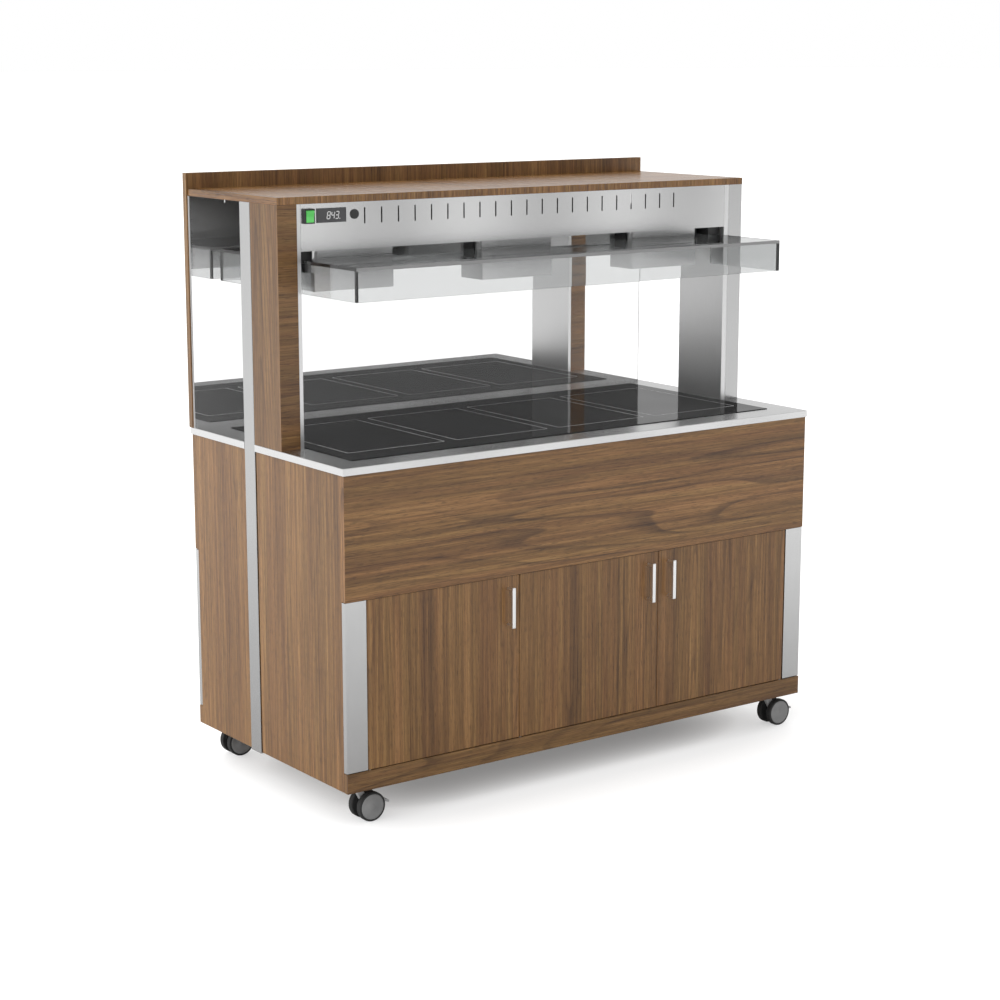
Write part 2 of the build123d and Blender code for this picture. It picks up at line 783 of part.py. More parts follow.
def make_guard_face(name, side):
    with BuildPart() as guard_face:
        face_span = turned(side, (guard_front, guard_front + guard_glass))
        block((-guard_half, guard_half), face_span, (guard_bottom, pane_low))
    keep(guard_face, f"{name}_guard_face")


for name, side in guard_sides.items():
    make_guard_face(name, side)

with BuildPart() as guard_ends:
    for side in guard_sides.values():
        end_span = turned(side, (guard_front + guard_glass, guard_back))
        for end in (-1, 1):
            block((end * (guard_half - guard_glass), end * guard_half), end_span, (guard_bottom, pane_low))
keep(guard_ends, "guard_ends")

with BuildPart() as guard_hangers:
    for side in guard_sides.values():
        hanger_span = turned(side, (hanger_front, hanger_front + hanger_depth))
        for x, y, z in turned_places(side, middle_pins, guard_top):
            block((x - hanger_width / 2, x + hanger_width / 2), hanger_span, (z, fascia_bottom))
        for end in (-1, 1):
            end_reach = (end * (post_inner - hanger_end_width), end * post_inner)
            block(end_reach, hanger_span, (guard_top, fascia_bottom))
        jaw_right = end_pin[0] - hanger_pin / 2
        jaw_reach = (-side * jaw_right, -side * (jaw_right - jaw_width))
        jaw_span = turned(side, (hanger_front - jaw_depth / 2, hanger_front + jaw_depth / 2))
        block(jaw_reach, jaw_span, (pane_low - jaw_height, pane_low))
keep(guard_hangers, "guard_hangers")

with BuildPart() as guard_pins:
    for side in guard_sides.values():
        with Locations(*turned_places(side, pin_places, (guard_top + fascia_bottom) / 2)):
            Cylinder(hanger_pin / 2, guard_drop)
        with Locations(*turned_places(side, stud_places, pane_middle)):
            Cylinder(hanger_stud / 2, guard_glass)
        with Locations(*turned_places(side, low_caps, pane_low - hanger_cap_height / 2)):
            Cylinder(hanger_pin / 2, hanger_cap_height)
        with Locations(*turned_places(side, [end_pin], pane_low - jaw_height / 2)):
            Cylinder(hanger_pin / 2, jaw_height)
keep(guard_pins, "guard_pins")

# Casters: plates with king pins, swivelling forks, twin wheels on an axle, brake pedals in front
corners = {
    "front_left": (caster_side_inset - base_half, base_front + caster_front_inset),
    "front_right": (base_half - caster_side_inset, base_front + caster_front_inset),
    "rear_left": (caster_side_inset - base_half, base_back - caster_rear_inset),
    "rear_right": (base_half - caster_side_inset, base_back - caster_rear_inset),
}

with BuildPart() as caster_plates:
    with Locations(*[(x, y, plate_bottom + plate_thickness / 2) for x, y in corners.values()]):
        Box(plate_size, plate_size, plate_thickness)
    pin_low = boss_bottom + king_pin_end_gap
    with Locations(*[(x, y, (pin_low + plate_bottom) / 2) for x, y in corners.values()]):
        Cylinder(king_pin / 2, plate_bottom - pin_low)
keep(caster_plates, "caster_plates")


def make_fork(name, swivel_x, swivel_y, has_brake):
    axle_x = swivel_x + caster_trail
    with BuildPart() as fork:
        with BuildSketch(front_view(swivel_x, swivel_y, 0)):
            with Locations((0, boss_bottom + fork_neck_rise)):
                Circle(fork_neck / 2)
            with Locations((caster_trail, wheel_radius)):
                Circle(fork_boss / 2)
            make_hull()
        extrude(amount=fork_width / 2, both=True)
        with Locations((swivel_x, swivel_y, (boss_bottom + boss_top) / 2)):
            Cylinder(swivel_boss / 2, boss_top - boss_bottom)
            Cylinder(king_pin / 2 + running_clearance, boss_top - boss_bottom, mode=Mode.SUBTRACT)
        if has_brake:
            with BuildSketch(front_view(axle_x, swivel_y, wheel_radius)):
                Circle(brake_lug_root / 2)
                with Locations((brake_pivot_out, brake_pivot_up)):
                    Circle(brake_eye / 2)
                make_hull()
            extrude(amount=brake_lug_width / 2, both=True)
            with BuildSketch(front_view(axle_x, swivel_y, wheel_radius)):
                with Locations((brake_pivot_out, brake_pivot_up)):
                    Circle(brake_pin / 2 + running_clearance)
            extrude(amount=brake_lug_width / 2, both=True, mode=Mode.SUBTRACT)
        with BuildSketch(front_view(axle_x, swivel_y, wheel_radius)):
            Circle(axle_diameter / 2 + running_clearance)
        extrude(amount=fork_width / 2, both=True, mode=Mode.SUBTRACT)
    keep(fork, f"{name}_fork")


def make_wheels(name, swivel_x, swivel_y):
    axle_x = swivel_x + caster_trail
    with BuildPart() as wheels:
        for outward in (-1, 1):
            inner = swivel_y + outward * wheel_gap / 2
            outer = inner + outward * wheel_width
            middle = (inner + outer) / 2
            with BuildPart(mode=Mode.PRIVATE) as wheel:
                with BuildSketch(front_view(axle_x, middle, wheel_radius)):
                    Circle(wheel_radius)
                extrude(amount=wheel_width / 2, both=True)
                fillet(wheel.edges().filter_by(GeomType.CIRCLE), wheel_round)
                with BuildSketch(front_view(axle_x, outer, wheel_radius)):
                    Circle(disc_diameter / 2)
                extrude(amount=disc_recess, both=True, mode=Mode.SUBTRACT)
                with BuildSketch(front_view(axle_x, inner, wheel_radius)):
                    Circle(axle_diameter / 2)
                extrude(amount=axle_seat, both=True, mode=Mode.SUBTRACT)
            add(wheel.part)
    axle_length = wheel_gap + 2 * axle_seat
    with BuildPart() as axle:
        with BuildSketch(front_view(axle_x, swivel_y, wheel_radius)):
            Circle(axle_diameter / 2)
        extrude(amount=axle_length / 2, both=True)
    wheelset = Compound(label=f"{name}_wheels", children=[*wheels.part.solids(), *axle.part.solids()])
    export_step(wheelset, f"parts/{name}_wheels.step")


def make_pedal(name, swivel_x, swivel_y):
    axle_x = swivel_x + caster_trail
    root_out = wheel_radius + wheel_clearance + pedal_root / 2
    tip_out = pedal_reach - caster_trail - pedal_tip / 2
    with BuildPart() as pedal:
        with BuildSketch(front_view(axle_x, swivel_y, wheel_radius)):
            with Locations((brake_pivot_out, brake_pivot_up)):
                Circle(brake_eye / 2)
            with Locations((root_out, pedal_root_up)):
                Circle(pedal_root / 2)
            make_hull()
        extrude(amount=fork_width / 2, both=True)
        with BuildSketch(front_view(axle_x, swivel_y, wheel_radius)):
            with Locations((brake_pivot_out, brake_pivot_up)):
                Circle(brake_eye / 2 + brake_slot_margin)
        extrude(amount=brake_lug_width / 2 + brake_side_gap, both=True, mode=Mode.SUBTRACT)
        with BuildSketch(front_view(axle_x, swivel_y, wheel_radius)):
            with Locations((brake_pivot_out, brake_pivot_up)):
                Circle(brake_pin / 2)
        extrude(amount=fork_width / 2, both=True)
        with BuildSketch(front_view(axle_x, swivel_y, wheel_radius)):
            with Locations((root_out, pedal_root_up)):
                Circle(pedal_root / 2)
            with Locations((tip_out, pedal_tip_up)):
                Circle(pedal_tip / 2)
            make_hull()
        extrude(amount=pedal_width / 2, both=True)
    keep(pedal, f"{name}_brake_pedal")


for name, (swivel_x, swivel_y) in corners.items():
    braked = swivel_y < worktop_middle
    make_fork(name, swivel_x, swivel_y, braked)
    make_wheels(name, swivel_x, swivel_y)
    if braked:
        make_pedal(name, swivel_x, swivel_y)
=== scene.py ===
import math

import bmesh
import bpy
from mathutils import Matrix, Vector


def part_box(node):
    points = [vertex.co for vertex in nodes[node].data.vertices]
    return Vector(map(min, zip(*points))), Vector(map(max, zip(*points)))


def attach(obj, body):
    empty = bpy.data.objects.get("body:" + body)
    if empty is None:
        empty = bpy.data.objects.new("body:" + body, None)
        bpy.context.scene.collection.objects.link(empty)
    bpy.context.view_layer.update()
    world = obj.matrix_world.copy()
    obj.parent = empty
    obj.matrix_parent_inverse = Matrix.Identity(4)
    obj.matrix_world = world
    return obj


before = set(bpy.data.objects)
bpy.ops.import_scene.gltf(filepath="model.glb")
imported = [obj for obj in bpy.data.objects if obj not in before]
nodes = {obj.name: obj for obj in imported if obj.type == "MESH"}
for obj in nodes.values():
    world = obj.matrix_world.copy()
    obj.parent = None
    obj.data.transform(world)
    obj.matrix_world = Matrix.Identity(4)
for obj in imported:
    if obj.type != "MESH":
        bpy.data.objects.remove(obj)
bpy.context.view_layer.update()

MM = 0.001
X_AXIS, Y_AXIS, Z_AXIS = 0, 1, 2


# Short calls for building materials from nodes
SQUARE_ON = 0.7  # part of a normal along an axis, above which a face counts as lying across it
# The mix node's inputs and output for vectors and for colours
MIX_VECTORS, MIXED_VECTOR = (4, 5), 1
MIX_COLOURS, MIXED_COLOUR = (6, 7), 2


class Nodes:
    """A new material, its principled shader and calls that add nodes to it."""

    def __init__(self, name):
        self.material = bpy.data.materials.new(name)
        self.material.use_nodes = True
        self.tree = self.material.node_tree
        self.shader = self.tree.nodes["Principled BSDF"]
        self.output = self.tree.nodes["Material Output"]
        coordinates = self.add("TexCoord").outputs
        self.place = coordinates["Object"]
        self.facing = coordinates["Normal"]

    def feed(self, socket, value):
        if isinstance(value, bpy.types.NodeSocket):
            self.tree.links.new(value, socket)
        else:
            socket.default_value = value

    def add(self, kind, settings=None, **inputs):
        node = self.tree.nodes.new("ShaderNode" + kind)
        for name, value in (settings or {}).items():
            setattr(node, name, value)
        for name, value in inputs.items():
            self.feed(node.inputs[name.replace("_", " ")], value)
        return node

    def set(self, **inputs):
        for name, value in inputs.items():
            self.feed(self.shader.inputs[name.replace("_", " ")], value)

    def math(self, operation, first, second=0.0):
        node = self.add("Math", {"operation": operation})
        self.feed(node.inputs[0], first)
        self.feed(node.inputs[1], second)
        return node.outputs[0]

    def vector(self, operation, first, second=None):
        node = self.add("VectorMath", {"operation": operation})
        self.feed(node.inputs[0], first)
        if second is not None:
            self.feed(node.inputs[1], second)
        return node.outputs["Vector"]

    def stretched(self, across, along, axis, shift=0.0):
        """Coordinates with so many units per metre across the grain and along it."""
        scale = [across] * 3
        scale[axis] = along
        offset = (shift, 1.7 * shift, 2.3 * shift)
        return self.add("Mapping", Vector=self.place, Scale=scale, Location=offset).outputs[0]

    def turn_end_grain(self, axis):
        """Swap two axes on the faces that cut across the grain: veneered edges show long grain too."""
        other = X_AXIS if axis == Z_AXIS else Z_AXIS
        places = self.add("SeparateXYZ", Vector=self.place).outputs
        order = [X_AXIS, Y_AXIS, Z_AXIS]
        order[axis], order[other] = other, axis
        swapped = self.add("CombineXYZ")
        for socket, source in zip(swapped.inputs, order):
            self.feed(socket, places[source])
        normal = self.add("SeparateXYZ", Vector=self.facing).outputs[axis]
        across = self.math("GREATER_THAN", self.math("ABSOLUTE", normal), SQUARE_ON)
        mix = self.add("Mix", {"data_type": "VECTOR"})
        self.feed(mix.inputs["Factor"], across)
        for index, value in zip(MIX_VECTORS, (self.place, swapped.outputs[0])):
            self.feed(mix.inputs[index], value)
        self.place = mix.outputs[MIXED_VECTOR]

    def noise(self, vector, scale=1.0, detail=2.0, roughness=0.5):
        node = self.add("TexNoise", Vector=vector, Scale=scale, Detail=detail, Roughness=roughness)
        return node.outputs["Fac"]

    def ramp(self, factor, stops):
        node = self.add("ValToRGB", Fac=factor)
        elements = node.color_ramp.elements
        while len(elements) < len(stops):
            elements.new(0.5)
        for element, (position, colour) in zip(elements, stops):
            element.position = position
            element.color = (*colour, 1.0)
        return node.outputs["Color"]

    def spread(self, factor, low, high, source=(0.3, 0.7)):
        """Map a factor from the source range to the range from low to high."""
        node = self.add("MapRange", Value=factor, To_Min=low, To_Max=high)
        node.inputs["From Min"].default_value, node.inputs["From Max"].default_value = source
        return node.outputs["Result"]

    def multiply(self, first, second, factor=1.0):
        node = self.add("Mix", {"data_type": "RGBA", "blend_type": "MULTIPLY"})
        self.feed(node.inputs["Factor"], factor)
        for index, value in zip(MIX_COLOURS, (first, second)):
            self.feed(node.inputs[index], value)
        return node.outputs[MIXED_COLOUR]

    def bump(self, height, strength, distance):
        node = self.add("Bump", Height=height, Strength=strength, Distance=distance)
        self.set(Normal=node.outputs["Normal"])


def grey(value):
    return (value, value, value)


# Materials
WALNUT_TONES = (  # place on the ramp and colour, from the dark pores to the light wood
    (0.36, (0.082, 0.036, 0.012)), (0.45, (0.152, 0.072, 0.023)),
    (0.52, (0.214, 0.106, 0.034)), (0.64, (0.345, 0.187, 0.067)),
)
REFLECTION_BAND_PITCH = 0.5  # between the painted reflection bands on the fascias, lighter and darker stripes that stand in for mirrored light
REFLECTION_BAND_PHASE = 5.5
# Directions of the brushing, tilted a little so that no face lies square across them
BRUSHED_ALONG = ((1.0, 0.05, 0.0), (0.05, 1.0, 0.0), (0.0, 0.05, 1.0))
GROUND_EDGE = 0.31  # grey of the guard's ground edges
MIRROR_GROUND = 2.2 * MM  # width of the mirror's dull band
MIRROR_HAZE = 0.105  # share of light that the mirror scatters


def walnut(name, axis, shift, lines=16.0, drift=0.5, line_depth=0.4, painted_shade=1.0, rough=0.34):
    """Lacquered walnut veneer: its grain along the given axis, growth lines that drift across it, its
    colour scaled by a painted light and shade.
    """
    n = Nodes(name)
    n.turn_end_grain(axis)
    broad = n.noise(n.stretched(14, 0.5, axis, shift), detail=3.0)
    streak = n.noise(n.stretched(130, 1.2, axis, shift), detail=4.0, roughness=0.7)
    fine = n.noise(n.stretched(460, 8, axis, shift), detail=3.0, roughness=0.6)
    fleck = n.noise(n.stretched(700, 40, axis, shift), detail=1.0)
    patchy = n.noise(n.stretched(9, 1.2, axis, shift + 5), detail=2.0)
    warmth = n.noise(n.stretched(45, 0.7, axis, shift + 9), detail=2.0)
    figure = n.noise(n.stretched(6, drift, axis, shift + 13), detail=1.6)

    tone = n.math("ADD", n.math("MULTIPLY", broad, 0.22), n.math("MULTIPLY", streak, 0.44))
    tone = n.math("ADD", tone, n.math("MULTIPLY", fine, 0.34))
    # The tones are scaled by the node's shade factor: painted light and shade
    colour = n.ramp(tone, [(place, tuple(painted_shade * c for c in level)) for place, level in WALNUT_TONES])
    colour = n.multiply(colour, n.ramp(warmth, [(0.35, (0.97, 1.0, 0.97)), (0.65, (1.03, 0.985, 1.03))]))

    rings = n.math("FRACT", n.math("MULTIPLY", figure, lines))
    dark = tuple(1.0 - line_depth * loss for loss in (0.95, 1.0, 1.0))
    light = grey(1.0)
    growth = n.ramp(rings, [(0.0, light), (0.62, light), (0.90, dark), (0.96, dark), (1.0, light)])
    colour = n.multiply(colour, growth, n.spread(patchy, 0.15, 1.0, (0.40, 0.60)))
    flecks = n.ramp(fleck, [(0.0, grey(0.6)), (0.34, grey(0.6)), (0.42, light), (1.0, light)])
    colour = n.multiply(colour, flecks)

    n.set(Base_Color=colour, Roughness=n.spread(fine, rough + 0.04, rough - 0.04), IOR=1.5)
    n.bump(n.math("ADD", fine, fleck), 0.05, 0.0002)
    return n.material


def brushed(name, axis, level, rough, painted_reflection_depth=0.0, haze=0.0, streak=0.3):
    """Brushed stainless steel: fine lines along an axis, streaked shine, and soft bands of painted
    reflection across it.
    """
    n = Nodes(name)
    lines = n.noise(n.stretched(2600, 14, axis), detail=2.0)
    clouds = n.noise(n.place, scale=7.0, detail=3.0)
    mixed = n.math("ADD", n.math("MULTIPLY", lines, 0.6), n.math("MULTIPLY", clouds, 0.4))
    colour = n.ramp(mixed, [(0.35, grey(level * 0.95)), (0.65, grey(level * 1.03))])
    # Painted reflection: soft lighter and darker bands in the colour along X, standing in for bright and
    # dim surroundings mirrored in the steel
    if painted_reflection_depth:
        wave = n.add("TexWave", {"bands_direction": "X"}, Vector=n.place, Distortion=0.5, Detail=1.0,
                     Scale=0.1 * math.pi / REFLECTION_BAND_PITCH, Phase_Offset=REFLECTION_BAND_PHASE)
        painted_reflection_bands = wave.outputs["Fac"]
        colour = n.multiply(colour, n.ramp(painted_reflection_bands, [(0.0, grey(1.0 - painted_reflection_depth)), (1.0, grey(1.0 + painted_reflection_depth))]))
    n.set(
        Base_Color=colour,
        Metallic=1.0 - haze,
        Roughness=n.spread(mixed, rough - 0.03, rough + 0.04),
        Anisotropic=streak,
        Tangent=n.vector("CROSS_PRODUCT", n.facing, BRUSHED_ALONG[axis]),
    )
    n.bump(lines, 0.03, 0.00005)
    return n.material


def plastic(name, colour, rough, grain=1400.0, emission=0.0):
    """Moulded plastic with a fine grain."""
    n = Nodes(name)
    grains = n.noise(n.place, scale=grain, detail=2.0)
    cloud = n.noise(n.place, scale=18.0, detail=3.0)
    darker = tuple(0.85 * c for c in colour)
    lighter = tuple(min(1.0, 1.12 * c) for c in colour)
    n.set(
        Base_Color=n.ramp(cloud, [(0.35, darker), (0.65, lighter)]),
        Roughness=n.spread(grains, rough - 0.05, rough + 0.06),
        IOR=1.49,
    )
    if emission:
        n.set(Emission_Color=(*colour, 1.0), Emission_Strength=emission)
    n.bump(grains, 0.06, 0.0001)
    return n.material


def polished(name, level, rough, haze=0.0):
    """Polished metal, with faint smears."""
    n = Nodes(name)
    smear = n.noise(n.place, scale=5.0, detail=4.0)
    n.set(
        Base_Color=n.ramp(smear, [(0.3, grey(level * 0.99)), (0.7, grey(level))]),
        Metallic=1.0 - haze,
        Roughness=n.spread(smear, rough, rough + 0.02),
    )
    return n.material


def silvered(name, node_name):
    """Mirror: silver behind clear glass, with a dull ground band along its upright edges."""
    n = Nodes(name)
    low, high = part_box(node_name)
    smear = n.noise(n.place, scale=5.0, detail=4.0)
    across = n.add("SeparateXYZ", Vector=n.place).outputs["X"]
    outward = n.math("ABSOLUTE", n.math("SUBTRACT", across, (low.x + high.x) / 2))
    ground = n.math("GREATER_THAN", outward, (high.x - low.x) / 2 - MIRROR_GROUND)
    n.set(
        Base_Color=n.ramp(ground, [(0.0, grey(0.94)), (1.0, grey(0.50))]),
        Metallic=n.spread(ground, 1.0 - MIRROR_HAZE, 0.0, (0.0, 1.0)),
        Roughness=n.math("MAXIMUM", n.spread(smear, 0.002, 0.022), n.math("MULTIPLY", ground, 0.5)),
    )
    return n.material


def hob_black(name):
    """Black glass ceramic with a faint speckle below the surface."""
    n = Nodes(name)
    speckle = n.noise(n.place, scale=900.0, detail=2.0)
    smear = n.noise(n.place, scale=4.0, detail=4.0)
    n.set(
        Base_Color=n.ramp(speckle, [(0.40, grey(0.0110)), (0.75, grey(0.0118))]),
        Roughness=0.6,
        Specular_IOR_Level=0.0,
        Coat_Weight=n.spread(smear, 0.66, 0.58),
        Coat_Roughness=0.06,
        Coat_IOR=1.5,
    )
    return n.material


def clear_glass(name, tint, density, ground_axis=None):
    """Grey guard glass: a tint, faint smears in its gloss, ground edges on the faces across an axis."""
    n = Nodes(name)
    smear = n.noise(n.place, scale=6.0, detail=4.0)
    n.set(
        Base_Color=(*tint, 1.0),
        Roughness=n.spread(smear, 0.0, 0.02),
        Transmission_Weight=1.0,
        IOR=1.5,
    )
    if ground_axis is not None:
        normal = n.add("SeparateXYZ", Vector=n.facing).outputs[ground_axis]
        edge = n.math("GREATER_THAN", n.math("ABSOLUTE", normal), SQUARE_ON)
        n.set(
            Base_Color=n.ramp(edge, [(0.0, tint), (1.0, grey(GROUND_EDGE))]),
            Transmission_Weight=n.spread(edge, 1.0, 0.25, (0.0, 1.0)),
        )
    depth = n.add("VolumeAbsorption", Color=(*grey(0.0), 1.0), Density=density)
    n.feed(n.output.inputs["Volume"], depth.outputs[0])
    return n.material


# One stainless steel with a different level of colour on each part: lit and shaded copies, painted light
# and shade
worktop_steel = brushed("worktop_steel", X_AXIS, 0.65, 0.19, painted_reflection_depth=0.05, streak=0.95)
fascia_steel = brushed("fascia_steel", X_AXIS, 0.52, 0.20, painted_reflection_depth=0.13)
strip_steel = brushed("strip_steel", Z_AXIS, 0.565, 0.22)
upright_steel = brushed("upright_steel", Z_AXIS, 0.455, 0.24)
liner_steel = brushed("liner_steel", Z_AXIS, 0.70, 0.34, haze=0.10)
handle_steel = brushed("handle_steel", Z_AXIS, 0.86, 0.30)
zinc = brushed("zinc_plated_steel", X_AXIS, 0.50, 0.38)
tray_steel = brushed("tray_steel", X_AXIS, 0.55, 0.34)
mirror_silver = silvered("mirror_silver", "mirror")
chrome = polished("chrome", 0.45, 0.06, haze=0.04)
hob_ceramic = hob_black("hob_ceramic")
guard_face_glass = clear_glass("guard_face_glass", (0.71, 0.72, 0.72), 10.0)
guard_top_glass = clear_glass("guard_top_glass", (0.86, 0.87, 0.87), 3.0, Y_AXIS)
black_plastic = plastic("black_plastic", grey(0.026), 0.34)
display_black = plastic("display_black", (0.050, 0.050, 0.053), 0.16)
rocker_green = plastic("rocker_green", (0.10, 0.50, 0.11), 0.22, emission=0.35)
tyre_rubber = plastic("tyre_rubber", grey(0.022), 0.62, grain=700.0)
disc_grey = plastic("disc_grey", grey(0.24), 0.38)
fork_grey = plastic("fork_grey", grey(0.46), 0.40)
digit_white = plastic("digit_white", grey(0.62), 0.40, emission=0.25)
zone_print = plastic("zone_print", grey(0.62), 0.45)
pad_ceramic = plastic("pad_ceramic", (0.36, 0.35, 0.33), 0.75, grain=500.0)
lamp_ceramic = plastic("lamp_ceramic", (0.70, 0.66, 0.60), 0.50, grain=500.0)
grey_coat = plastic("grey_powder_coat", (0.42, 0.43, 0.44), 0.50, grain=900.0)

# Wood nodes: axis of the grain, number of growth lines, their drift and depth, painted light and shade on
# the wood's colour
VERTICAL, LENGTHWISE, DEPTHWISE = Z_AXIS, X_AXIS, Y_AXIS
# Painted shade darkens the rail, the left post and the back panel; painted light lightens the right post
# and the shelf
APRON = (LENGTHWISE, 16.0, 0.55, 0.50, 1.0)
RAIL = (LENGTHWISE, 16.0, 0.5, 0.40, 0.77)
PANEL = (VERTICAL, 34.0, 0.25, 0.28, 1.0)
DOOR = (VERTICAL, 34.0, 0.25, 0.36, 1.0)
LEFT_POST = (LENGTHWISE, 24.0, 0.3, 0.42, 0.79)
RIGHT_POST = (LENGTHWISE, 24.0, 0.3, 0.42, 1.1)
SHELF = (DEPTHWISE, 30.0, 0.3, 0.35, 1.08)
BACK = (VERTICAL, 34.0, 0.25, 0.36, 0.82)
BOARD = (LENGTHWISE, 16.0, 0.5, 0.30, 1.0)
wood_nodes = {
    "front_apron": APRON,
    "front_rail": RAIL,
    "rear_apron": APRON,
    "rear_panel": APRON,
    "left_front_side_panel": PANEL,
    "left_rear_side_panel": PANEL,
    "right_front_side_panel": PANEL,
    "right_rear_side_panel": PANEL,
    "left_door": DOOR,
    "middle_door": DOOR,
    "right_door": DOOR,
    "left_post_block": LEFT_POST,
    "right_post_block": RIGHT_POST,
    "top_shelf": SHELF,
    "back_panel": BACK,
    "bottom_board": BOARD,
    "equipment_floor": BOARD,
    "partition": PANEL,
}
WOOD_EDGE = 0.7 * MM
WOOD_ROUGH = 0.34
SHELF_ROUGH = 0.25
VENEER_START = 3.1  # place in the veneer that the first node shows
VENEER_STEP = 4.7  # from there to the next node's

plain_nodes = {
    worktop_steel: ["worktop"],
    fascia_steel: ["front_fascia", "rear_fascia", "canopy_base", "lamp_housings"],
    strip_steel: ["corner_strips"],
    upright_steel: ["left_upright", "right_upright"],
    liner_steel: ["post_liners"],
    handle_steel: ["left_handle", "middle_handle", "right_handle"],
    zinc: ["caster_plates", "door_pins"],
    tray_steel: ["hob_tray"],
    mirror_silver: ["mirror"],
    chrome: ["guard_pins"],
    hob_ceramic: ["hob_glass"],
    guard_face_glass: ["front_guard_face", "rear_guard_face", "guard_ends"],
    guard_top_glass: ["guard_top_pane"],
    black_plastic: ["guard_hangers", "switch_frame", "push_button", "cable_gland"],
    fork_grey: [
        "front_left_fork", "front_right_fork", "rear_left_fork", "rear_right_fork",
        "front_left_brake_pedal", "front_right_brake_pedal",
    ],
    display_black: ["display"],
    rocker_green: ["rocker"],
    tyre_rubber: ["front_left_wheels", "front_right_wheels", "rear_left_wheels", "rear_right_wheels"],
    pad_ceramic: ["heating_pads"],
    lamp_ceramic: ["heat_lamps"],
    grey_coat: ["power_unit"],
}


def dress(node_name, material):
    """Give a node of the frame its material."""
    materials = nodes[node_name].data.materials
    materials.clear()
    materials.append(material)


WELD_REACH = 0.005 * MM  # joins the points that a sharp edge has twice
SHARP_FROM = 40.0  # degrees between two faces


def soften(node_name, width, segments=2):
    """Round the sharp edges of a node of the frame as it is shown."""
    node = nodes[node_name]
    weld = node.modifiers.new("weld", "WELD")
    weld.merge_threshold = WELD_REACH
    bevel = node.modifiers.new("edges", "BEVEL")
    bevel.width = width
    bevel.segments = segments
    bevel.limit_method = "ANGLE"
    bevel.angle_limit = math.radians(SHARP_FROM)
    bevel.harden_normals = True


for index, (node_name, veneer) in enumerate(wood_nodes.items()):
    axis, lines, drift, line_depth, painted_shade = veneer
    rough = SHELF_ROUGH if node_name == "top_shelf" else WOOD_ROUGH
    shift = VENEER_START + VENEER_STEP * index
    dress(node_name, walnut(f"walnut_{node_name}", axis, shift, lines, drift, line_depth, painted_shade, rough))
    soften(node_name, WOOD_EDGE)
for material, node_names in plain_nodes.items():
    for node_name in node_names:
        dress(node_name, material)


# Pieces that are modelled here
def new_piece(name, mesh, body, material):
    """Turn a finished bmesh into an object that rides on a body."""
    data = bpy.data.meshes.new(name)
    bmesh.ops.recalc_face_normals(mesh, faces=mesh.faces)
    mesh.to_mesh(data)
    mesh.free()
    data.materials.append(material)
    piece = bpy.data.objects.new(name, data)
    bpy.context.scene.collection.objects.link(piece)
    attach(piece, body)
    return piece


def prism(mesh, outline, low, high, place):
    """Extrude a closed outline of 2-D points from low to high; place turns (u, v, w) into X, Y, Z."""
    bottom = [mesh.verts.new(place(u, v, low)) for u, v in outline]
    top = [mesh.verts.new(place(u, v, high)) for u, v in outline]
    mesh.faces.new(bottom)
    mesh.faces.new(top)
    count = len(outline)
    for i in range(count):
        j = (i + 1) % count
        mesh.faces.new((bottom[i], bottom[j], top[j], top[i]))


def ring(mesh, outer, inner, low, high, place):
    """A flat closed frame between two outlines with the same number of points."""
    loops = {}
    for key, outline in (("outer", outer), ("inner", inner)):
        for level, w in (("low", low), ("high", high)):
            loops[key, level] = [mesh.verts.new(place(u, v, w)) for u, v in outline]
    count = len(outer)
    pairs = (
        (("outer", "low"), ("outer", "high")),
        (("outer", "high"), ("inner", "high")),
        (("inner", "high"), ("inner", "low")),
        (("inner", "low"), ("outer", "low")),
    )
    for first, second in pairs:
        for i in range(count):
            j = (i + 1) % count
            mesh.faces.new((loops[first][i], loops[first][j], loops[second][j], loops[second][i]))


def rounded_rectangle(half_x, half_y, radius, steps=6):
    """Points round a rectangle with round corners, centred on zero."""
    points = []
    for corner, (sx, sy) in enumerate(((1, 1), (-1, 1), (-1, -1), (1, -1))):
        for step in range(steps + 1):
            angle = math.radians(90 * (corner + step / steps))
            x = sx * (half_x - radius) + radius * math.cos(angle)
            y = sy * (half_y - radius) + radius * math.sin(angle)
            points.append((x, y))
    return points


# Printed outlines of the heating zones
ZONE_COUNT = 4
ZONE_GAP = 35.0 * MM
ZONE_LINE = 2.2 * MM
ZONE_PRINT = 0.08 * MM
ZONE_RADIUS = 6.0 * MM


def zone_outlines():
    low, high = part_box("heating_pads")
    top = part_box("hob_glass")[1].z
    width = (high.x - low.x - (ZONE_COUNT - 1) * ZONE_GAP) / ZONE_COUNT
    half_x, half_y = width / 2, (high.y - low.y) / 2
    mesh = bmesh.new()
    for i in range(ZONE_COUNT):
        centre_x = low.x + half_x + i * (width + ZONE_GAP)
        centre_y = (low.y + high.y) / 2
        outer = rounded_rectangle(half_x, half_y, ZONE_RADIUS)
        inner = rounded_rectangle(half_x - ZONE_LINE, half_y - ZONE_LINE, ZONE_RADIUS - ZONE_LINE)
        ring(mesh, outer, inner, top, top + ZONE_PRINT, lambda u, v, w: (centre_x + u, centre_y + v, w))
    new_piece("zone_outlines", mesh, "counter", zone_print)


zone_outlines()

# Figures of the display: seven bars each, plain numbers
DIGIT_BARS = {"8": "abcdefg", "4": "bcfg", "3": "abcdg"}
DIGIT_HEIGHT = 17.0 * MM
DIGIT_WIDTH = 8.2 * MM
DIGIT_PITCH = 12.2 * MM
DIGIT_BAR = 2.0 * MM
DIGIT_GAP = 0.25 * MM
DIGIT_SLANT = 0.16
DIGIT_DEPTH = 0.15 * MM
POINT_HALF = 1.1 * MM  # half the decimal point's size
POINT_ROUND = 0.9  # its corner radius as a share of that
FIGURES = "843"
FIGURES_START = 28.5 * MM  # display's left edge to the first figure


